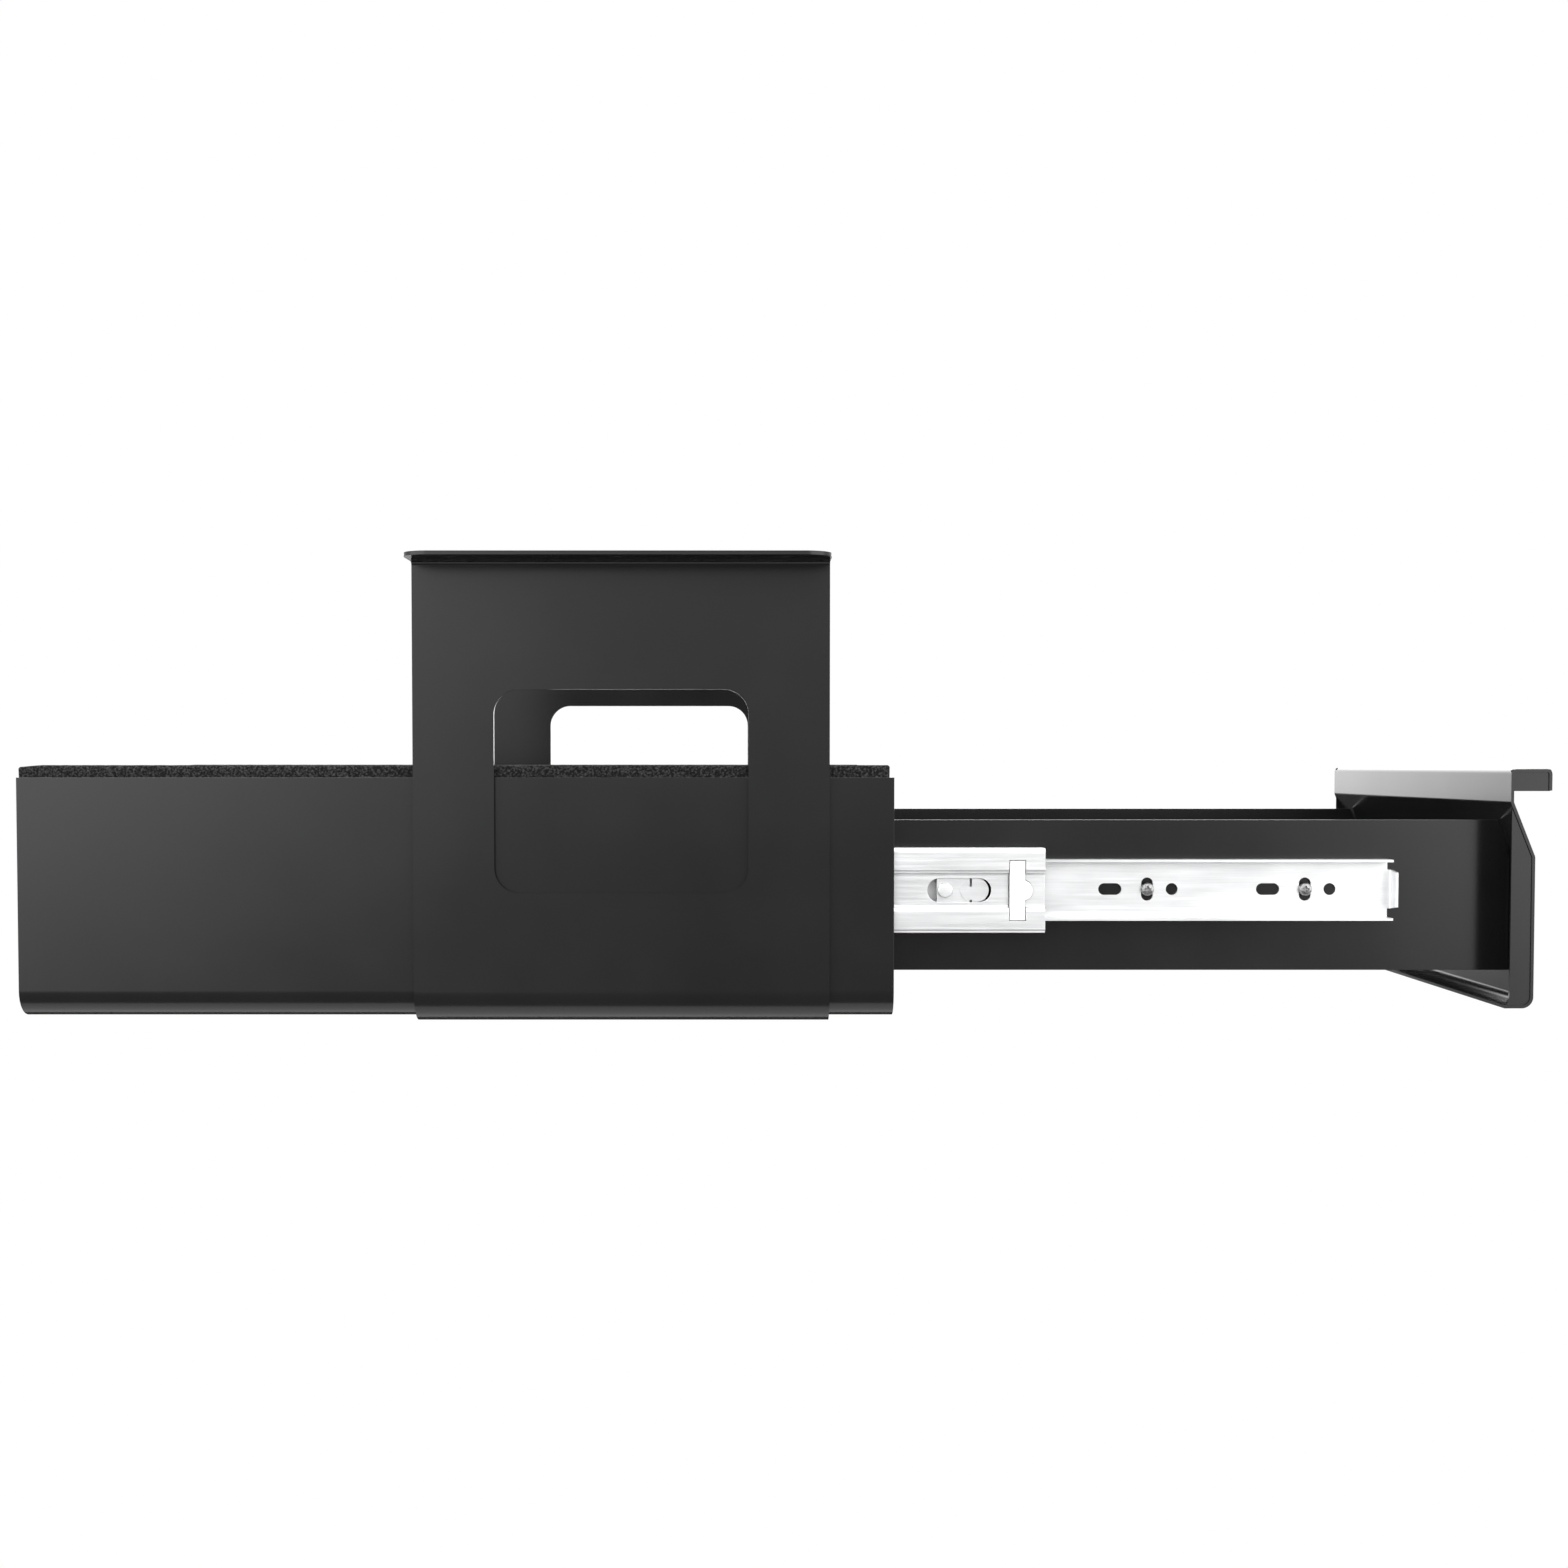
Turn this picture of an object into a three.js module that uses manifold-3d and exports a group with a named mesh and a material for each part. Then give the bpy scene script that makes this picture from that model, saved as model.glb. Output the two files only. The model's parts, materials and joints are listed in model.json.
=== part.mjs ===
// Under-desk pull-out drawer on two three-member ball-bearing slides.
//
// A sheet-steel hanger hooks under a desk top and carries a U-shaped housing. A drawer with a
// handle front runs in the housing on a left and a right slide, shown drawn out 244 mm.
//
// Millimetres, +Z up. +X is the way the drawer pulls out, and -Y is the user's left.
// The origin is the middle of the plane where the hanger's two flanges meet the desk.

import * as THREE from "three";
import { mergeVertices } from "three/addons/utils/BufferGeometryUtils.js";
import Module from "manifold-3d";

const wasm = await Module();
wasm.setup();

// ---------------------------------------------------------------- driving dimensions

const FIT = 0.3; // clearance between neighbouring pieces
const SHEET = 1.2; // housing, drawer sides and front
const BEND_STEPS = 4; // flats in a small sheet bend
const BROAD_BEND_STEPS = 8; // flats in a large sheet bend
const HOLE_SIDES = 20;

const hanger = {
  length: 166.8,
  sheet: 1.5,
  outerHalf: 107.8,
  bottom: -186.3,
  bendInside: 11.4,
  flange: 26,
  flangeCorner: 10,
  flangeHole: 5,
  flangeHolePitch: 65.2,
  flangeHoleOut: 17.5,
  windowHalf: 50.9,
  windowTop: -52.2,
  windowBottom: -133.8,
  windowCorner: 10,
};

const housing = {
  back: -242.8,
  front: 109.4,
  outerHalf: 105.9,
  top: -87.4,
  bottom: -184.2,
  bendInside: 9.8,
};
const HOUSING_INNER_HALF = housing.outerHalf - SHEET;

const foam = { thick: 5, top: -82.4, bottom: -105.5, front: 107.6, slopeLength: 7.5, slopeDrop: 0.8 };

const bolts = { x: 60, y: 60, shank: 4, shankLength: 9, hole: 4.6, headWidth: 7.6, headHeight: 2.2 };
const nut = { acrossFlats: 7, height: 3.2, bore: 4.6 };

const SLIDE_Z = -133.1; // centre line of both slides
const DRAWER_SIDE_HALF = 91.5; // outer face of a drawer side
const SLIDE_LENGTH = 300;
const SLIDE_FRONT = 70.7; // front end of the outer member
const INTERMEDIATE_OUT = 100; // how far the intermediate member is drawn out
const INNER_OUT = 141.3; // how far the inner member is drawn out of the intermediate one

// Across a slide, `s` runs from the housing wall (0) to the drawer side (13.2).
const outerMember = { sheet: 1.2, half: 22.5, depth: 10.7, lip: 2.1 };
const intermediate = {
  sheet: 1,
  half: 17.2,
  length: 290,
  shoulder: 2.6,
  web: 4.9,
  depth: 10.2,
  channelHalf: 6.9,
};
const inner = { sheet: 1, length: 296, half: 12.35, web: 12.4, tip: 4.6 };

const slot = { x: 136.25, length: 25.9, height: 9.7 }; // oblong hole in the intermediate member
const stopBlock = {
  x: 159.5,
  width: 6.2,
  half: 12.05,
  noseX: 161.5,
  noseRadius: 4.2,
  face: 2.3,
  back: 3.7,
  reach: 7.5,
};
const catchPlate = { back: 127.3, step: 141.5, front: 148.3, half: 5.5, tongueHalf: 4.7, slit: 0.9 };
const catchRivet = { x: 130.6, headRadius: 3, stemRadius: 1.5 };

const holeGroup = {
  pitch: 64.5,
  count: 4,
  firstX: 278.35,
  slotLong: 9.5,
  slotWide: 4.8,
  slotBack: 15.2,
  round: 4.9,
  roundAhead: 10.1,
};
const SLIDE_SCREW_X = [0, 1, 3].map((n) => holeGroup.firstX - n * holeGroup.pitch);
const endTab = { halfRoot: 8.1, halfTip: 6.9, tip: 6, overhang: 2.5, bendInside: 0.8 };

const ball = { outerRadius: 1.75, innerRadius: 1.6, perRow: 7 };
const cage = {
  outer: { back: -84, length: 120, s: 6, z: 19.25, width: 2.8 },
  inner: { back: 37.6, length: 110, s: 7.5, z: 14.28, width: 2.4 },
  sheet: 0.6,
};

const side = { back: 11.5, front: 363.9, top: -104.8, bottom: -166.4, flange: 14.5 };
const floorPan = { sheet: 1, back: 13.6, front: 355, z: -164.9, rim: -150.5 };
const backPlate = { sheet: 1, x: 14.5, top: -108, flange: 15 };

const front = {
  half: 109,
  face: 365.4,
  neck: 356.6,
  handle: 371.8,
  top: -84,
  lipBottom: -92.6,
  neckBottom: -97.4,
  neckBend: 2,
  faceTop: -119.2,
  bottom: -179.9,
  bottomBend: 3.4,
  rim: 353.9,
  cheekBack: 356.1,
  cheekCurve: 6,
  endRecess: 0.5,
  studs: { y: 82.5, z: [-128, -154], radius: 2, length: 7 },
};

// ---------------------------------------------------------------- materials

const blackCoat = () => new THREE.MeshStandardMaterial({ color: 0x2c2c2d, roughness: 0.42, metalness: 0.2 });
const zinc = () => new THREE.MeshStandardMaterial({ color: 0xe3e5e7, roughness: 0.28, metalness: 1 });
const whitePlastic = () => new THREE.MeshStandardMaterial({ color: 0xf1f1ee, roughness: 0.5, metalness: 0 });
const blackFoam = () => new THREE.MeshStandardMaterial({ color: 0x2a2a2b, roughness: 0.95, metalness: 0 });
const blackRubber = () => new THREE.MeshStandardMaterial({ color: 0x1b1b1c, roughness: 0.8, metalness: 0 });
const boltSteel = () => new THREE.MeshStandardMaterial({ color: 0xb9bcc0, roughness: 0.35, metalness: 1 });

// ---------------------------------------------------------------- solids and booleans

function toSolid(geometry) {
  const bare = geometry.clone();
  bare.deleteAttribute("normal");
  bare.deleteAttribute("uv");
  const merged = mergeVertices(bare, 1e-4);
  const mesh = new wasm.Mesh({
    numProp: 3,
    vertProperties: new Float32Array(merged.attributes.position.array),
    triVerts: new Uint32Array(merged.index.array),
  });
  return new wasm.Manifold(mesh);
}

function toGeometry(solid) {
  const mesh = solid.getMesh();
  const indexed = new THREE.BufferGeometry();
  indexed.setAttribute("position", new THREE.BufferAttribute(new Float32Array(mesh.vertProperties), 3));
  indexed.setIndex(new THREE.BufferAttribute(new Uint32Array(mesh.triVerts), 1));
  const flat = indexed.toNonIndexed();
  flat.computeVertexNormals();
  return flat;
}

// The body with every `added` geometry joined to it and every `cut` one taken away.
function combine(body, { added = [], cut = [] }) {
  let solid = toSolid(body);
  for (const piece of added) solid = solid.add(toSolid(piece));
  for (const piece of cut) solid = solid.subtract(toSolid(piece));
  return toGeometry(solid);
}

function piece(name, geometry, material) {
  const mesh = new THREE.Mesh(geometry, material);
  mesh.name = name;
  return mesh;
}

// ---------------------------------------------------------------- shapes

const unit = (angle) => new THREE.Vector2(Math.cos(angle), Math.sin(angle));

// Outline of a bent strip of sheet. `corners` is its mid-line, and every corner between the
// ends is rounded to the inside bend radius given.
function bentStrip(corners, thickness, bendInside, steps = BEND_STEPS) {
  const points = corners.map(([x, y]) => new THREE.Vector2(x, y));
  const left = [];
  const right = [];
  const lay = (point, heading) => {
    const normal = unit(heading + Math.PI / 2).multiplyScalar(thickness / 2);
    left.push(point.clone().add(normal));
    right.push(point.clone().sub(normal));
  };
  const headings = points.slice(1).map((point, i) => point.clone().sub(points[i]).angle());
  lay(points[0], headings[0]);
  for (let i = 1; i < points.length - 1; i += 1) {
    const before = headings[i - 1];
    const turn = Math.atan2(Math.sin(headings[i] - before), Math.cos(headings[i] - before));
    const radius = bendInside + thickness / 2;
    const tangent = radius * Math.tan(Math.abs(turn) / 2);
    const start = points[i].clone().sub(unit(before).multiplyScalar(tangent));
    const inward = (Math.sign(turn) * Math.PI) / 2;
    const centre = start.clone().add(unit(before + inward).multiplyScalar(radius));
    for (let k = 0; k <= steps; k += 1) {
      const heading = before + (turn * k) / steps;
      lay(centre.clone().sub(unit(heading + inward).multiplyScalar(radius)), heading);
    }
  }
  lay(points[points.length - 1], headings[headings.length - 1]);
  return new THREE.Shape([...left, ...right.reverse()]);
}

function polygon(points) {
  return new THREE.Shape(points.map(([x, y]) => new THREE.Vector2(x, y)));
}

function roundedBox(x0, y0, x1, y1, radius) {
  const shape = new THREE.Shape();
  shape.moveTo(x0 + radius, y0);
  shape.absarc(x1 - radius, y0 + radius, radius, -Math.PI / 2, 0, false);
  shape.absarc(x1 - radius, y1 - radius, radius, 0, Math.PI / 2, false);
  shape.absarc(x0 + radius, y1 - radius, radius, Math.PI / 2, Math.PI, false);
  shape.absarc(x0 + radius, y0 + radius, radius, Math.PI, Math.PI * 1.5, false);
  return shape;
}

function oblong(x, z, width, height) {
  const [w, h] = [width / 2, height / 2];
  return roundedBox(x - w, z - h, x + w, z + h, Math.min(w, h) - 1e-3);
}

function extrude(shape, depth, curveSegments) {
  return new THREE.ExtrudeGeometry(shape, { depth, steps: 1, curveSegments, bevelEnabled: false });
}

// Shapes drawn in (y, z), extruded along X.
function alongX(shape, x0, x1, curveSegments = BEND_STEPS) {
  const yzx = new THREE.Matrix4().makeBasis(
    new THREE.Vector3(0, 1, 0),
    new THREE.Vector3(0, 0, 1),
    new THREE.Vector3(1, 0, 0),
  );
  return extrude(shape, x1 - x0, curveSegments).applyMatrix4(yzx).translate(x0, 0, 0);
}

// Shapes drawn in (x, z), extruded along Y.
function alongY(shape, y0, y1, curveSegments = BEND_STEPS) {
  return extrude(shape, y1 - y0, curveSegments).rotateX(Math.PI / 2).translate(0, y1, 0);
}

// Shapes drawn in (x, y), extruded along Z.
function alongZ(shape, z0, z1, curveSegments = BEND_STEPS) {
  return extrude(shape, z1 - z0, curveSegments).translate(0, 0, z0);
}

function box(x0, x1, y0, y1, z0, z1) {
  const geometry = new THREE.BoxGeometry(x1 - x0, y1 - y0, z1 - z0);
  return geometry.translate((x0 + x1) / 2, (y0 + y1) / 2, (z0 + z1) / 2);
}

// Cylinders between two planes across X, Y or Z.
function rodX(radius, x0, x1, y, z, sides = HOLE_SIDES) {
  const rod = new THREE.CylinderGeometry(radius, radius, x1 - x0, sides).rotateZ(Math.PI / 2);
  return rod.translate((x0 + x1) / 2, y, z);
}

function rodY(radius, x, y0, y1, z, sides = HOLE_SIDES) {
  return new THREE.CylinderGeometry(radius, radius, y1 - y0, sides).translate(x, (y0 + y1) / 2, z);
}

function rodZ(radius, x, y, z0, z1, sides = HOLE_SIDES) {
  const rod = new THREE.CylinderGeometry(radius, radius, z1 - z0, sides).rotateX(Math.PI / 2);
  return rod.translate(x, y, (z0 + z1) / 2);
}

// A solid of revolution about Y, from (radius, y) points that start and end on the axis.
function turned(profile, sides = 16) {
  return new THREE.LatheGeometry(profile.map(([r, y]) => new THREE.Vector2(r, y)), sides);
}

// Pan-head screw with a cross recess: its head's seat is at y = 0 and its shank points to +Y.
function panScrew(shankRadius, shankLength, headRadius, headHeight) {
  const crown = headHeight * 0.45;
  const body = turned([
    [0, -headHeight],
    [headRadius * 0.45, -headHeight * 0.95],
    [headRadius * 0.85, -headHeight + crown * 0.55],
    [headRadius, -headHeight + crown * 1.3],
    [headRadius, 0],
    [shankRadius, 0],
    [shankRadius, shankLength - 0.6],
    [shankRadius - 0.5, shankLength],
    [0, shankLength],
  ]);
  const recessHalf = headRadius * 0.5;
  const recessWide = headRadius * 0.13;
  const recessDeep = headHeight * 0.55;
  return combine(body, {
    cut: [
      box(-recessHalf, recessHalf, -headHeight - 1, recessDeep - headHeight, -recessWide, recessWide),
      box(-recessWide, recessWide, -headHeight - 1, recessDeep - headHeight, -recessHalf, recessHalf),
    ],
  });
}

// Hexagon nut about Y, from y = 0 to its height.
function hexNut() {
  const cornerRadius = nut.acrossFlats / Math.sqrt(3);
  const body = new THREE.CylinderGeometry(cornerRadius, cornerRadius, nut.height, 6);
  const bore = rodY(nut.bore / 2, 0, -1, nut.height + 1, 0, 16);
  return combine(body.translate(0, nut.height / 2, 0), { cut: [bore] });
}

const boltPlaces = [-1, 1].flatMap((i) => [-1, 1].map((j) => [i * bolts.x, j * bolts.y]));

// ---------------------------------------------------------------- hanger and housing

function hangerGeometry() {
  const wall = hanger.outerHalf - hanger.sheet / 2;
  const tip = hanger.outerHalf + hanger.flange;
  const top = -hanger.sheet / 2;
  const low = hanger.bottom + hanger.sheet / 2;
  const halfLength = hanger.length / 2;
  // Flange and wall on each side are a strip with a tight bend; the bottom joins them with broad ones.
  const strap = bentStrip(
    [[-wall, -40], [-wall, low], [wall, low], [wall, -40]],
    hanger.sheet,
    hanger.bendInside,
    BROAD_BEND_STEPS,
  );
  const ends = [-1, 1].map((hand) =>
    bentStrip([[hand * tip, top], [hand * wall, top], [hand * wall, -41]], hanger.sheet, 1.5),
  );
  const cut = [-1, 1].flatMap((hand) => {
    const corners = [-1, 1].map((end) => flangeCornerWaste(hand, end * halfLength));
    const rowY = hand * (hanger.outerHalf + hanger.flangeHoleOut);
    const holes = [-1, 0, 1].map((n) => rodZ(hanger.flangeHole / 2, n * hanger.flangeHolePitch, rowY, -4, 1));
    return [...corners, ...holes];
  });
  const { windowHalf, windowBottom, windowTop, windowCorner, outerHalf } = hanger;
  const opening = roundedBox(-windowHalf, windowBottom, windowHalf, windowTop, windowCorner);
  cut.push(alongY(opening, -outerHalf - 5, outerHalf + 5, 6));
  for (const [x, y] of boltPlaces) {
    cut.push(rodZ(bolts.hole / 2, x, y, hanger.bottom - 1, hanger.bottom + 3, 16));
  }
  return combine(alongX(strap, -halfLength, halfLength), {
    added: ends.map((shape) => alongX(shape, -halfLength, halfLength)),
    cut,
  });
}

// What a round corner takes off the free corner of a flange.
function flangeCornerWaste(hand, endX) {
  const r = hanger.flangeCorner;
  const towards = Math.sign(endX);
  const tipY = hand * (hanger.outerHalf + hanger.flange);
  const centre = [endX - towards * r, tipY - hand * r];
  const arc = [];
  for (let k = 0; k <= 8; k += 1) {
    const a = (k / 8) * (Math.PI / 2);
    arc.push([centre[0] + towards * r * Math.cos(a), centre[1] + hand * r * Math.sin(a)]);
  }
  const [farX, farY] = [endX + towards * 2, tipY + hand * 2];
  return alongZ(polygon([...arc, [centre[0], farY], [farX, farY], [farX, centre[1]]]), -5, 2);
}

function housingGeometry() {
  const wall = housing.outerHalf - SHEET / 2;
  const low = housing.bottom + SHEET / 2;
  const channel = bentStrip(
    [[-wall, housing.top], [-wall, low], [wall, low], [wall, housing.top]],
    SHEET,
    housing.bendInside,
    BROAD_BEND_STEPS,
  );
  return combine(alongX(channel, housing.back, housing.front), {
    cut: boltPlaces.map(([x, y]) => rodZ(bolts.hole / 2, x, y, housing.bottom - 1, housing.bottom + 3, 16)),
  });
}

// Foam strip inside the top edge of the left wall, standing proud of the steel.
function foamGeometry() {
  const outline = polygon([
    [housing.back + FIT, foam.bottom],
    [foam.front, foam.bottom],
    [foam.front, foam.top],
    [housing.back + foam.slopeLength, foam.top],
    [housing.back + FIT, foam.top - foam.slopeDrop],
  ]);
  const wallFace = -HOUSING_INNER_HALF + FIT;
  return alongY(outline, wallFace, wallFace + foam.thick);
}

// ---------------------------------------------------------------- slide members (left slide)
// These are drawn in the slide's own frame: y is s, and z = 0 is the slide's centre line.

function outerMemberGeometry() {
  const { sheet, half, depth, lip } = outerMember;
  const web = FIT + sheet / 2;
  const flange = half - sheet / 2;
  const half1 = [[depth, flange - lip], [depth - 0.6, flange], [web, flange]];
  const half2 = half1.map(([s, z]) => [s, -z]).reverse();
  return alongX(bentStrip([...half1, ...half2], sheet, 0.5), SLIDE_FRONT - SLIDE_LENGTH, SLIDE_FRONT);
}

function rearBumperGeometry() {
  const back = SLIDE_FRONT - SLIDE_LENGTH + FIT;
  const front = SLIDE_FRONT - intermediate.length - 0.6;
  return alongY(roundedBox(back, -10, front, 10, 3), 1.8, 3.8);
}

function intermediateGeometry() {
  const { sheet, half, length, shoulder, web, depth, channelHalf } = intermediate;
  const flange = half - sheet / 2;
  const half1 = [
    [depth, flange],
    [shoulder, flange],
    [shoulder, channelHalf + 0.75],
    [web, channelHalf],
  ];
  const half2 = half1.map(([s, z]) => [s, -z]).reverse();
  const frontEnd = SLIDE_FRONT + INTERMEDIATE_OUT;
  const gap = FIT;
  const noseHole = new THREE.Shape();
  noseHole.absarc(stopBlock.noseX, 0, stopBlock.noseRadius + gap, 0, Math.PI * 2, false);
  return combine(alongX(bentStrip([...half1, ...half2], sheet, 0.7), frontEnd - length, frontEnd), {
    cut: [
      alongY(oblong(slot.x, 0, slot.length, slot.height), 0, 7, 8),
      box(
        stopBlock.x - stopBlock.width / 2 - gap,
        stopBlock.x + stopBlock.width / 2 + gap,
        0,
        7,
        -stopBlock.half - gap,
        stopBlock.half + gap,
      ),
      alongY(noseHole, 0, 7, 10),
    ],
  });
}

// Plastic stop that shows through the intermediate member: a bar with a half-round nose.
function stopBlockGeometry() {
  const { x, width, half, noseX, noseRadius, face, back, reach } = stopBlock;
  return combine(box(x - width / 2, x + width / 2, face, back, -half, half), {
    added: [
      rodY(noseRadius, noseX, face, back, 0, 24),
      box(x - width / 2 + 0.4, x + width / 2 - 0.4, back - 0.5, reach, -4, 4),
    ],
  });
}

// Plate behind the oblong hole. It steps forward into a round-ended tongue, freed above and
// below by short slits, and has a hole for its rivet.
function catchPlateGeometry() {
  const { back, step, front: ahead, half, tongueHalf, slit } = catchPlate;
  const tongue = oblong((step - tongueHalf + ahead) / 2, 0, ahead - step + tongueHalf, 2 * tongueHalf);
  return combine(box(back, step + 0.6, 6.1, 6.9, -half, half), {
    added: [alongY(tongue, 5.7, 6.5, 8)],
    cut: [
      box(step - slit, step, 5, 8, 1.4, half + 1),
      box(step - slit, step, 5, 8, -half - 1, -3.9),
      rodY(catchRivet.stemRadius + FIT, catchRivet.x, 5, 8, 0, 12),
    ],
  });
}

function catchRivetGeometry() {
  const { headRadius: r, stemRadius: stem } = catchRivet;
  const head = [[0, 4.3], [r * 0.9, 4.4], [r, 4.7], [r, 5.8], [stem, 5.8]];
  const upset = [[stem, 7.2], [r * 0.8, 7.2], [r * 0.8, 7.9], [0, 7.9]];
  return turned([...head, ...upset], 20).translate(catchRivet.x, 0, 0);
}

function innerMemberGeometry() {
  const { sheet, length, half, web, tip } = inner;
  const flange = half - sheet / 2;
  const half1 = [[tip, flange], [web, flange]];
  const half2 = half1.map(([s, z]) => [s, -z]).reverse();
  const frontEnd = SLIDE_FRONT + INTERMEDIATE_OUT + INNER_OUT;
  const cut = [];
  for (let n = 0; n < holeGroup.count; n += 1) {
    const x = holeGroup.firstX - n * holeGroup.pitch;
    cut.push(alongY(oblong(x - holeGroup.slotBack, 0, holeGroup.slotLong, holeGroup.slotWide), 9, 14, 6));
    cut.push(alongY(oblong(x, 0, holeGroup.slotWide, holeGroup.slotLong), 9, 14, 6));
    cut.push(rodY(holeGroup.round / 2, x + holeGroup.roundAhead, 9, 14, 0));
  }
  return combine(alongX(bentStrip([...half1, ...half2], sheet, 0.6), frontEnd - length, frontEnd), {
    added: [endTabGeometry(frontEnd)],
    cut,
  });
}

// Tab that runs on from the middle of the inner member's web and is bent up across its end.
function endTabGeometry(frontEnd) {
  const { halfRoot, halfTip, tip, overhang, bendInside } = endTab;
  const x = frontEnd + overhang - inner.sheet / 2;
  const strip = bentStrip([[frontEnd - 1, inner.web], [x, inner.web], [x, tip]], inner.sheet, bendInside);
  const [rootS, tipS] = [inner.web + 1, tip - 1];
  const taper = polygon([[rootS, -halfRoot], [tipS, -halfTip], [tipS, halfTip], [rootS, halfRoot]]);
  const body = toSolid(alongZ(strip, -halfRoot - 1, halfRoot + 1));
  return toGeometry(body.intersect(toSolid(alongX(taper, frontEnd - 2, frontEnd + overhang + 1))));
}

// One row of balls held in a thin strip, above the centre line (up = 1) or below it (up = -1).
function cageGeometry({ back, length, s, z, width }, ballRadius, up) {
  const [level, half] = [up * z, cage.sheet / 2];
  const strip = box(back, back + length, s - width / 2, s + width / 2, level - half, level + half);
  const margin = 6;
  const step = (length - 2 * margin) / (ball.perRow - 1);
  const balls = [];
  for (let n = 0; n < ball.perRow; n += 1) {
    balls.push(new THREE.SphereGeometry(ballRadius, 8, 5).translate(back + margin + n * step, s, level));
  }
  return combine(strip, { added: balls });
}

// ---------------------------------------------------------------- drawer

// Left drawer side: a flat plate whose front end is bent inwards to lie on the drawer front.
function drawerSideGeometry() {
  const y = -DRAWER_SIDE_HALF + SHEET / 2;
  const bendX = side.front - SHEET / 2;
  const strip = bentStrip([[side.back, y], [bendX, y], [bendX, y + side.flange]], SHEET, 1.5);
  const slopeClear = polygon([
    [357.6, side.top + 1],
    [side.front + 2, side.top + 1],
    [side.front + 2, front.faceTop - 0.4],
    [side.front, front.faceTop - 0.4],
    [357.6, side.top - 0.4],
  ]);
  const cut = [alongY(slopeClear, -DRAWER_SIDE_HALF - 1, side.flange + 5 - DRAWER_SIDE_HALF)];
  for (const x of SLIDE_SCREW_X) {
    cut.push(rodY(1.9, x, -DRAWER_SIDE_HALF - 1, -DRAWER_SIDE_HALF + 3, SLIDE_Z, 16));
  }
  for (const z of front.studs.z) {
    cut.push(rodX(front.studs.radius + FIT, bendX - 2, bendX + 2, -front.studs.y, z, 16));
  }
  return combine(alongZ(strip, side.bottom, side.top), { cut });
}

function drawerFloorGeometry() {
  const { sheet, back, front: ahead, z, rim } = floorPan;
  const wall = DRAWER_SIDE_HALF - SHEET - FIT - sheet / 2;
  return alongX(bentStrip([[-wall, rim], [-wall, z], [wall, z], [wall, rim]], sheet, 1), back, ahead);
}

function drawerBackGeometry() {
  const { sheet, x, top, flange } = backPlate;
  const wall = DRAWER_SIDE_HALF - SHEET - FIT - floorPan.sheet - FIT - sheet / 2;
  const strip = bentStrip([[x + flange, -wall], [x, -wall], [x, wall], [x + flange, wall]], sheet, 1);
  return alongZ(strip, floorPan.z + floorPan.sheet / 2 + FIT, top);
}

// Drawer front: one sheet bent into a handle, a neck, a slope, a flat face and a short bottom
// flange, closed at both ends by cheeks, with threaded studs for the drawer sides.
function frontPanelGeometry() {
  const t = SHEET / 2;
  const midLine = [
    [front.handle - t, front.lipBottom],
    [front.handle - t, front.top - t],
    [front.neck - t, front.top - t],
    [front.neck - t, front.neckBottom],
    [front.face - t, front.faceTop],
    [front.face - t, front.bottom + t],
    [front.rim, front.bottom + t],
  ];
  const handle = bentStrip([...midLine.slice(0, 3), [front.neck - t, front.lipBottom]], SHEET, 0.8);
  const slope = bentStrip(
    [[front.neck - t, front.lipBottom + 1], ...midLine.slice(3, 5), [front.face - t, -145]],
    SHEET,
    front.neckBend,
  );
  const base = bentStrip(
    [[front.face - t, -144], midLine[5], midLine[6]],
    SHEET,
    front.bottomBend,
    BROAD_BEND_STEPS,
  );
  const endPlates = [-1, 1].flatMap((hand) =>
    [cheekOutline(), handleEndOutline()].map((outline) => {
      const outside = hand * (front.half - front.endRecess);
      const inside = outside - hand * SHEET;
      return alongY(outline, Math.min(outside, inside), Math.max(outside, inside));
    }),
  );
  const { y, z: levels, radius, length } = front.studs;
  const studEnd = front.face - SHEET - length;
  const studs = [-y, y].flatMap((across) =>
    levels.map((level) => rodX(radius, studEnd, front.face - t, across, level, 12)),
  );
  const [panel, ...bends] = [handle, slope, base].map((shape) => alongY(shape, -front.half, front.half));
  return combine(panel, { added: [...bends, ...endPlates, ...studs] });
}

// The plate that closes one end of the handle's channel.
function handleEndOutline() {
  const [back, low] = [front.neck - SHEET + 0.1, front.lipBottom - 0.2];
  return roundedBox(back, low, front.handle - 0.1, front.top - 0.1, 0.9);
}

// A cheek fills the bent front's own outline, back to a straight rear edge that curves out to
// the bottom flange's rim.
function cheekOutline() {
  const r = front.bottomBend + SHEET;
  const outline = [
    [front.cheekBack, front.neckBottom + 1],
    [front.face - 0.4, front.faceTop],
  ];
  for (let k = 0; k <= BROAD_BEND_STEPS; k += 1) {
    const a = (k / BROAD_BEND_STEPS) * (Math.PI / 2);
    const reach = r - 0.2;
    outline.push([front.face - r + reach * Math.cos(a), front.bottom + r - reach * Math.sin(a)]);
  }
  outline.push([front.rim, front.bottom + 0.2]);
  for (let k = 0; k <= BROAD_BEND_STEPS; k += 1) {
    const a = (1 - k / BROAD_BEND_STEPS) * (Math.PI / 2);
    const x = front.rim + (front.cheekBack - front.rim) * Math.cos(a);
    outline.push([x, front.bottom + 1 + front.cheekCurve * (1 - Math.sin(a))]);
  }
  return polygon(outline);
}

// ---------------------------------------------------------------- assembly

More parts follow.
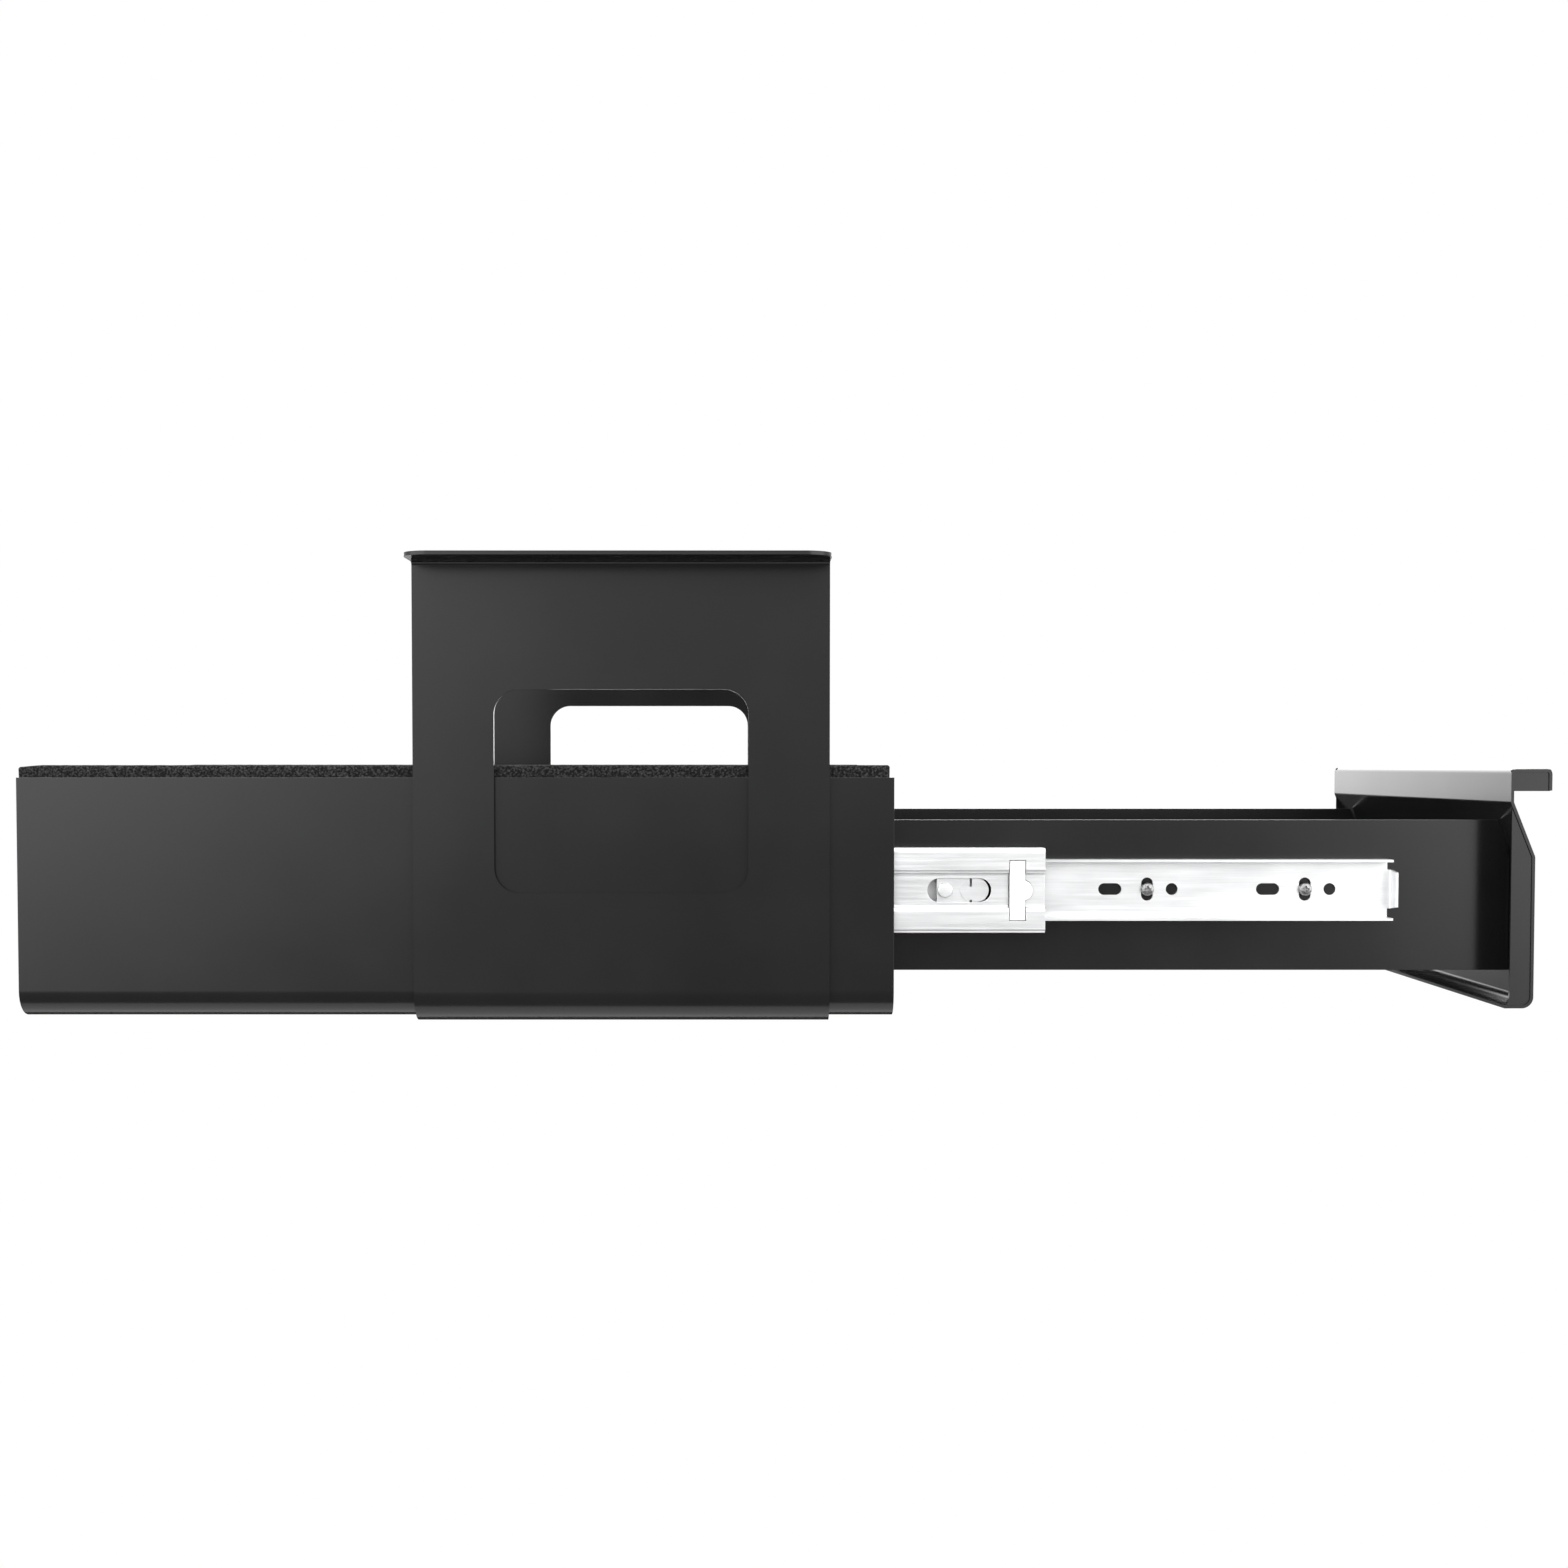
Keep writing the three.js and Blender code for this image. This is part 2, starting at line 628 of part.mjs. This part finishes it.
// Pieces of one slide and one drawer side, built for the left (-Y). The right side is the
// same group turned over in Y.
function sideAssembly(hand) {
  const group = new THREE.Group();
  const slide = new THREE.Group();
  slide.position.set(0, -HOUSING_INNER_HALF, SLIDE_Z);
  slide.add(
    piece(`outer_member_${hand}`, outerMemberGeometry(), zinc()),
    piece(`rear_bumper_${hand}`, rearBumperGeometry(), blackRubber()),
    piece(`intermediate_member_${hand}`, intermediateGeometry(), zinc()),
    piece(`stop_block_${hand}`, stopBlockGeometry(), whitePlastic()),
    piece(`catch_plate_${hand}`, catchPlateGeometry(), zinc()),
    piece(`catch_rivet_${hand}`, catchRivetGeometry(), zinc()),
    piece(`inner_member_${hand}`, innerMemberGeometry(), zinc()),
  );
  for (const [up, level] of [[1, "top"], [-1, "bottom"]]) {
    slide.add(
      piece(`outer_ball_cage_${level}_${hand}`, cageGeometry(cage.outer, ball.outerRadius, up), boltSteel()),
      piece(`inner_ball_cage_${level}_${hand}`, cageGeometry(cage.inner, ball.innerRadius, up), boltSteel()),
    );
  }
  SLIDE_SCREW_X.forEach((x, n) => {
    const screw = piece(`slide_screw_${n + 1}_${hand}`, panScrew(1.6, 4.6, 2.7, 1.6), boltSteel());
    screw.position.set(x, inner.web - inner.sheet / 2 - FIT, 0);
    slide.add(screw);
  });
  group.add(
    slide,
    piece(`foam_strip_${hand}`, foamGeometry(), blackFoam()),
    piece(`drawer_side_${hand}`, drawerSideGeometry(), blackCoat()),
  );
  front.studs.z.forEach((z, n) => {
    const frontNut = piece(`front_nut_${n + 1}_${hand}`, hexNut(), boltSteel());
    frontNut.rotation.z = Math.PI / 2;
    frontNut.position.set(side.front - SHEET - FIT, -front.studs.y, z);
    group.add(frontNut);
  });
  group.scale.y = hand === "left" ? 1 : -1;
  return group;
}

const root = new THREE.Group();
root.add(
  piece("hanger_bracket", hangerGeometry(), blackCoat()),
  piece("housing", housingGeometry(), blackCoat()),
  piece("drawer_floor", drawerFloorGeometry(), blackCoat()),
  piece("drawer_back", drawerBackGeometry(), blackCoat()),
  piece("front_panel", frontPanelGeometry(), blackCoat()),
  sideAssembly("left"),
  sideAssembly("right"),
);

boltPlaces.forEach(([x, y], n) => {
  const shape = panScrew(bolts.shank / 2, bolts.shankLength, bolts.headWidth / 2, bolts.headHeight);
  const screw = piece(`hanger_screw_${n + 1}`, shape, boltSteel());
  screw.rotation.x = Math.PI / 2;
  screw.position.set(x, y, hanger.bottom - FIT);
  const topNut = piece(`hanger_nut_${n + 1}`, hexNut(), boltSteel());
  topNut.rotation.x = Math.PI / 2;
  topNut.position.set(x, y, housing.bottom + SHEET + FIT);
  root.add(screw, topNut);
});

export default root;
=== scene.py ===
import json
import math
import random

import bmesh
import bpy
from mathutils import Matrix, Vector


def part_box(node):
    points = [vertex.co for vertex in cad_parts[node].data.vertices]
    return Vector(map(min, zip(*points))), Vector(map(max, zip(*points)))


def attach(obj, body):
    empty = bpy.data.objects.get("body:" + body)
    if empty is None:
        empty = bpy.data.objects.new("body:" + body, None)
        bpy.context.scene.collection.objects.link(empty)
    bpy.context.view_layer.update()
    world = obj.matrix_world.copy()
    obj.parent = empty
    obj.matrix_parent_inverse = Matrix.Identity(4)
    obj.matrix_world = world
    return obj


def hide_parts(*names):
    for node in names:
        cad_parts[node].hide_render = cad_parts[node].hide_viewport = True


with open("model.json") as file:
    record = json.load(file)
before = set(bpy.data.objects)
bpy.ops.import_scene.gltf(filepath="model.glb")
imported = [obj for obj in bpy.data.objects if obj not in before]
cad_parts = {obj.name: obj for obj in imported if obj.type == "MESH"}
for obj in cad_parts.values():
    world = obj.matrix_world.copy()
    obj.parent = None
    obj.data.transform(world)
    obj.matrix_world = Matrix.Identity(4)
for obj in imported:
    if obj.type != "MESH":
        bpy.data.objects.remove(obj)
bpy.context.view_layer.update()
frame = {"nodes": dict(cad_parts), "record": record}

nodes = frame["nodes"]
collection = bpy.context.scene.collection
MM = 0.001

# ------------------------------------------------------------------ shader nodes


def put(tree, socket, value):
    """Links a node's output to the socket, or sets a plain value on it."""
    if isinstance(value, bpy.types.NodeSocket):
        tree.links.new(value, socket)
    else:
        socket.default_value = value


def node(tree, kind, **inputs):
    """A new node, with its inputs given by name, an underscore standing for a space."""
    made = tree.nodes.new(kind)
    for key, value in inputs.items():
        put(tree, made.inputs[key.replace("_", " ")], value)
    return made


def calc(tree, operation, a, b=0.0):
    made = tree.nodes.new("ShaderNodeMath")
    made.operation = operation
    put(tree, made.inputs[0], a)
    put(tree, made.inputs[1], b)
    return made.outputs["Value"]


def ramp(tree, value, low, high, out_low, out_high):
    """The value's stretch from low to high mapped to out_low to out_high, and held past the ends."""
    made = node(tree, "ShaderNodeMapRange", Value=value, From_Min=low, From_Max=high)
    put(tree, made.inputs["To Min"], out_low)
    put(tree, made.inputs["To Max"], out_high)
    return made.outputs["Result"]


def split(tree, vector):
    return node(tree, "ShaderNodeSeparateXYZ", Vector=vector).outputs


def place(tree, scale=(1, 1, 1)):
    """Object coordinates in millimetres, stretched by scale."""
    coordinates = tree.nodes.new("ShaderNodeTexCoord").outputs["Object"]
    in_mm = [axis / MM for axis in scale]
    return node(tree, "ShaderNodeMapping", Vector=coordinates, Scale=in_mm).outputs["Vector"]


def noise(tree, vector, scale, detail=2.0, roughness=0.5):
    made = node(tree, "ShaderNodeTexNoise", Vector=vector, Scale=scale, Detail=detail, Roughness=roughness)
    return made.outputs["Fac"]


def blend(tree, part, dark, light):
    """The colour that far from dark to light."""
    made = tree.nodes.new("ShaderNodeMix")
    made.data_type = "RGBA"
    put(tree, made.inputs["Factor"], part)
    put(tree, made.inputs["A"], (*dark, 1))
    put(tree, made.inputs["B"], (*light, 1))
    return made.outputs["Result"]


def bump(tree, height, strength, depth):
    """A relief of that depth in millimetres."""
    return node(tree, "ShaderNodeBump", Height=height, Strength=strength, Distance=depth * MM).outputs["Normal"]


def grey(level):
    return (level, level, level)


def new_material(name):
    material = bpy.data.materials.new(name)
    material.use_nodes = True
    return material, material.node_tree


def finish(material, **inputs):
    """Sets the material's shader inputs by name."""
    shader = material.node_tree.nodes["Principled BSDF"]
    for key, value in inputs.items():
        put(material.node_tree, shader.inputs[key.replace("_", " ")], value)
    return material


# ------------------------------------------------------------------ camera

PITCH = math.radians(1.9)
EYE = (49.5, -835.6, -81.6)
SENSOR, LENS = 36, 41.7857
SHIFT = (0.024872, 0.025128)

camera = bpy.data.objects.new("camera", bpy.data.cameras.new("camera"))
camera.location = [axis * MM for axis in EYE]
camera.rotation_euler = (math.pi / 2 - PITCH, 0, 0)
camera.data.sensor_width = SENSOR
camera.data.lens = LENS
camera.data.shift_x, camera.data.shift_y = SHIFT
camera.data.clip_start, camera.data.clip_end = 0.01, 50
collection.objects.link(camera)
bpy.context.scene.camera = camera
bpy.context.scene.view_settings.view_transform = "Standard"

# ------------------------------------------------------------------ studio

FLOOR_CORNERS = [(-1, -0.8), (1.2, -0.8), (1.2, 0.8), (-1, 0.8)]
FLOOR_Z = -1.6

# The room's brightness. A wall's edges are sideways over ahead and the ceiling's up over ahead,
# and the other edges are along the unit direction.
MIDDLE = 0.5
BRIGHTEST = 3.2
LEFT_WALL, LEFT_EDGES, LEFT_FALL = 4.8, (0.0, -0.55), 2.0
RIGHT_WALL, RIGHT_EDGES, RIGHT_FALL = 16.0, (0.12, 0.54), 5.0
WALL_FOOT = (-0.24, -0.04)
LOW_LIFT, CEILING_LIFT, CEILING_EDGES = 0.6, 2.7, (-0.1, 0.3)
BACKDROP, BACKDROP_SIDE, BACKDROP_EDGES = 4.2, 1.0, (0.75, 0.25)
UNDERNEATH, HORIZON, HORIZON_FALL = 0.1, (-0.16, -0.01), 2.0
FRONT_TO_BACK = (-0.25, 0.05)
LEAST_AHEAD = 0.05


def lay_floor():
    mesh = bpy.data.meshes.new("studio_floor")
    mesh.from_pydata([(x, y, FLOOR_Z) for x, y in FLOOR_CORNERS], [], [(0, 1, 2, 3)])
    floor = bpy.data.objects.new("studio_floor", mesh)
    collection.objects.link(floor)
    paint, _ = new_material("studio_floor")
    mesh.materials.append(finish(paint, Base_Color=(*grey(0.5), 1), Roughness=0.9))


def room(tree):
    """Bright backdrop, dim underneath, and dim in front between two bright walls and a bright
    ceiling. The camera itself sees plain white."""

    def part_of(value, edges):
        return ramp(tree, value, *edges, 0, 1)

    def times(a, b):
        return calc(tree, "MULTIPLY", a, b)

    def between(low, high, part):
        return calc(tree, "ADD", times(low, calc(tree, "SUBTRACT", 1.0, part)), times(high, part))

    def wall(across, edges, fall, brightness):
        return times(calc(tree, "POWER", part_of(across, edges), fall), brightness)

    x, y, z = split(tree, tree.nodes.new("ShaderNodeTexCoord").outputs["Generated"])
    ahead = calc(tree, "MAXIMUM", times(y, -1.0), LEAST_AHEAD)
    across = calc(tree, "DIVIDE", x, ahead)
    left = wall(across, LEFT_EDGES, LEFT_FALL, LEFT_WALL)
    right = wall(across, RIGHT_EDGES, RIGHT_FALL, RIGHT_WALL)
    walls = times(calc(tree, "ADD", left, right), part_of(z, WALL_FOOT))
    ceiling = times(part_of(calc(tree, "DIVIDE", z, ahead), CEILING_EDGES), CEILING_LIFT)
    lift = calc(tree, "ADD", LOW_LIFT, ceiling)
    front = calc(tree, "MINIMUM", times(calc(tree, "ADD", walls, MIDDLE), lift), BRIGHTEST)
    behind = times(BACKDROP, part_of(calc(tree, "ABSOLUTE", x), BACKDROP_EDGES))
    above = calc(tree, "POWER", part_of(z, HORIZON), HORIZON_FALL)
    back = between(UNDERNEATH, calc(tree, "MAXIMUM", behind, BACKDROP_SIDE), above)
    lit = between(front, back, part_of(y, FRONT_TO_BACK))
    seen = tree.nodes.new("ShaderNodeLightPath").outputs["Is Camera Ray"]
    background = tree.nodes["Background"]
    put(tree, background.inputs["Strength"], between(lit, 1.0, seen))
    put(tree, background.inputs["Color"], (1, 1, 1, 1))


def softbox(name, spot, target, width, height, radiance):
    """A rectangular area light of the given radiance that faces the target."""
    data = bpy.data.lights.new(name, "AREA")
    data.shape = "RECTANGLE"
    data.size, data.size_y = width, height
    data.energy = radiance * math.pi * width * height
    light = bpy.data.objects.new(name, data)
    light.location = spot
    light.rotation_euler = (Vector(target) - Vector(spot)).to_track_quat("-Z", "Y").to_euler()
    collection.objects.link(light)


lay_floor()
world = bpy.data.worlds.new("studio")
world.use_nodes = True
bpy.context.scene.world = world
room(world.node_tree)
softbox("top_left", (-0.7, -0.2, 1.5), (-0.1, 0, -0.1), 0.8, 0.6, 9.0)
softbox("top", (0.3, 0.2, 1.6), (0.1, 0.1, -0.1), 1.4, 1.2, 2.0)

# ------------------------------------------------------------------ materials


def powder_coat():
    """Satin black powder coat: a fine even orange peel and faint clouding, glossy only face on."""
    coat, tree = new_material("black_powder_coat")
    at = place(tree)
    peel = noise(tree, at, 1.1, 2.0, 0.55)
    clouds = ramp(tree, noise(tree, at, 0.02, 3.0, 0.5), 0.3, 0.7, 0, 1)
    facing = node(tree, "ShaderNodeLayerWeight", Blend=0.5).outputs["Facing"]
    return finish(
        coat,
        Base_Color=blend(tree, clouds, (0.0055, 0.0055, 0.0056), (0.0075, 0.0075, 0.0076)),
        Specular_IOR_Level=ramp(tree, facing, 0.72, 0.95, 0.375, 0.06),
        Roughness=ramp(tree, clouds, 0, 1, 0.19, 0.22),
        Normal=bump(tree, peel, 0.12, 0.03),
    )


def zinc_plate():
    """Bright zinc on rolled steel: lengthwise rolling lines and a faint cloudiness."""
    zinc, tree = new_material("zinc_plate")
    lines = noise(tree, place(tree, (0.02, 1, 1)), 1.4, 4.0, 0.6)
    clouds = noise(tree, place(tree, (0.35, 1, 1)), 0.09, 3.0, 0.55)
    mixed = ramp(tree, calc(tree, "ADD", calc(tree, "MULTIPLY", lines, 0.6), clouds), 0.6, 1.0, 0, 1)
    return finish(
        zinc,
        Base_Color=blend(tree, mixed, (0.67, 0.675, 0.68), (0.8, 0.805, 0.81)),
        Roughness=ramp(tree, lines, 0.3, 0.7, 0.34, 0.46),
        Normal=bump(tree, lines, 0.2, 0.04),
        Metallic=1,
    )


def white_plastic():
    """Off-white moulded plastic with a faint grain."""
    plastic, tree = new_material("white_plastic")
    grain = noise(tree, place(tree), 3, 3.0, 0.6)
    return finish(
        plastic,
        Base_Color=blend(tree, grain, (0.6, 0.6, 0.59), (0.66, 0.66, 0.65)),
        Normal=bump(tree, grain, 0.1, 0.03),
        Roughness=0.45,
    )


def fastener_steel():
    """Bright steel, unevenly polished."""
    steel, tree = new_material("fastener_steel")
    grain = noise(tree, place(tree), 2.0, 3.0, 0.6)
    return finish(
        steel,
        Base_Color=blend(tree, grain, (0.55, 0.56, 0.58), (0.72, 0.73, 0.75)),
        Roughness=ramp(tree, grain, 0.3, 0.7, 0.22, 0.36),
        Metallic=1,
    )


def screw_nickel():
    """Dark nickel plating with a fine fleck."""
    nickel, tree = new_material("screw_nickel")
    grain = noise(tree, place(tree), 2.0, 3.0, 0.6)
    fleck = ramp(tree, grain, 0.35, 0.65, 0, 1)
    return finish(
        nickel,
        Base_Color=blend(tree, fleck, grey(0.14), grey(0.4)),
        Roughness=ramp(tree, grain, 0.3, 0.7, 0.25, 0.38),
        Metallic=1,
    )


def ball_steel():
    """Polished steel with a lengthwise grain."""
    steel, tree = new_material("ball_steel")
    grain = noise(tree, place(tree, (0.1, 1, 1)), 2.0, 2.0, 0.5)
    return finish(
        steel,
        Base_Color=blend(tree, grain, (0.66, 0.67, 0.68), (0.78, 0.79, 0.8)),
        Roughness=ramp(tree, grain, 0.3, 0.7, 0.1, 0.2),
        Metallic=1,
    )


def black_rubber():
    """Matt black rubber with a fine moulded grain."""
    rubber, tree = new_material("black_rubber")
    grain = noise(tree, place(tree), 1.5, 3.0, 0.6)
    return finish(
        rubber,
        Base_Color=blend(tree, grain, grey(0.012), grey(0.022)),
        Normal=bump(tree, grain, 0.3, 0.06),
        Roughness=0.75,
    )


def black_foam():
    """Closed-cell foam: a light speckle over the relief of its round cells."""
    foam, tree = new_material("black_foam")
    at = place(tree)
    cells = node(tree, "ShaderNodeTexVoronoi", Scale=1.1, Vector=at).outputs["Distance"]
    speckle = ramp(tree, noise(tree, at, 1.2, 3.0, 0.6), 0.45, 0.68, 0, 1)
    return finish(
        foam,
        Base_Color=blend(tree, speckle, grey(0.003), grey(0.042)),
        Normal=bump(tree, cells, 0.7, 0.4),
        Roughness=0.85,
        Specular_IOR_Level=0.15,
    )


# Each material slot's finish.
MATERIALS = {
    "black_coat": powder_coat(),
    "zinc_plate": zinc_plate(),
    "white_plastic": white_plastic(),
    "black_foam": black_foam(),
    "black_rubber": black_rubber(),
    "screw_nickel": screw_nickel(),
    "fastener_steel": fastener_steel(),
    "ball_steel": ball_steel(),
}

# ------------------------------------------------------------------ CAD nodes

# Width in millimetres of the rounding on each finish's sharp edges.
BEVEL = {
    "black_coat": 0.42,
    "zinc_plate": 0.15,
    "white_plastic": 0.25,
    "screw_nickel": 0.1,
    "fastener_steel": 0.2,
    "black_rubber": 0.4,
}
WELD_WITHIN = 0.01
FLAT_WITHIN = math.radians(0.5)
SHARP_OVER = math.radians(35)


def round_edges(part, width):
    """Joins the facets of each flat face, rounds the sharp edges and keeps the flat faces flat."""
    merge = part.modifiers.new("merge", "WELD")
    merge.merge_threshold = WELD_WITHIN * MM
    flat = part.modifiers.new("flat", "DECIMATE")
    flat.decimate_type = "DISSOLVE"
    flat.angle_limit = FLAT_WITHIN
    round_off = part.modifiers.new("round_off", "BEVEL")
    round_off.width = width * MM
    round_off.segments = 2
    round_off.limit_method = "ANGLE"
    round_off.angle_limit = SHARP_OVER
    round_off.use_clamp_overlap = True
    round_off.harden_normals = True
    shade = part.modifiers.new("shade", "WEIGHTED_NORMAL")
    shade.mode = "FACE_AREA"
    shade.weight = 100
    shade.keep_sharp = True


def dress(part, slot):
    """Gives a CAD node its finish and a small rounding on its sharp edges."""
    part.data.materials.clear()
    part.data.materials.append(MATERIALS[slot])
    for polygon in part.data.polygons:
        polygon.use_smooth = True
    if slot in BEVEL:
        round_edges(part, BEVEL[slot])


for subpart in frame["record"]["subparts"]:
    dress(nodes[subpart["node"]], subpart["material_slot"])

# ------------------------------------------------------------------ foam strips

# Sizes in millimetres, and the two least edge lengths in metres.
FOAM_EDGE = 0.7
FOAM_PIT = 0.09
SLOPE_LENGTH, SLOPE_DEPTH, SLOPE_BAND = 8, 0.8, 4
LONG_EDGE, TALL_EDGE = 0.1, 0.01
FOAM_LENGTH_CUTS, FOAM_HEIGHT_CUTS = 174, 10
FOAM_SEED = 7


def cut_edges(shape, axis, over, cuts):
    """Cuts the edges that run further than that along the axis."""
    edges = [e for e in shape.edges if abs(e.verts[0].co[axis] - e.verts[1].co[axis]) > over]
    bmesh.ops.subdivide_edges(shape, edges=edges, cuts=cuts, use_grid_fill=True)


def foam_mesh(name, low, high):
    """A bar with softened edges and an uneven skin, its top sloping down at the rear end."""
    shape = bmesh.new()
    bmesh.ops.create_cube(shape, size=1)
    for vertex in shape.verts:
        vertex.co = Vector((low[k] + (high[k] - low[k]) * (vertex.co[k] + 0.5) for k in range(3)))
    edges = list(shape.edges)
    bmesh.ops.bevel(shape, geom=edges, offset=FOAM_EDGE * MM, segments=2, profile=0.5, affect="EDGES")
    cut_edges(shape, 0, LONG_EDGE, FOAM_LENGTH_CUTS)
    cut_edges(shape, 2, TALL_EDGE, FOAM_HEIGHT_CUTS)
    rng = random.Random(FOAM_SEED)
    for vertex in shape.verts:
        pit = Vector((rng.uniform(-1, 1), rng.uniform(-1, 1), rng.uniform(-1, 0)))
        vertex.co += pit * FOAM_PIT * MM
        along = (vertex.co.x - low.x) / (SLOPE_LENGTH * MM)
        if along < 1 and vertex.co.z > high.z - SLOPE_BAND * MM:
            vertex.co.z -= SLOPE_DEPTH * MM * (1 - max(0.0, along))
    mesh = bpy.data.meshes.new(name)
    shape.to_mesh(mesh)
    shape.free()
    for polygon in mesh.polygons:
        polygon.use_smooth = True
    return mesh


def foam_strip(name):
    """The strip that stands for a housing wall's plain CAD bar."""
    mesh = foam_mesh(name + "_soft", *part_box(name))
    mesh.materials.append(MATERIALS["black_foam"])
    strip = bpy.data.objects.new(name + "_soft", mesh)
    collection.objects.link(strip)
    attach(strip, "hanger_and_housing")
    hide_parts(name)


for side in ("left", "right"):
    foam_strip(f"foam_strip_{side}")

# ------------------------------------------------------------------ update

bpy.context.view_layer.update()
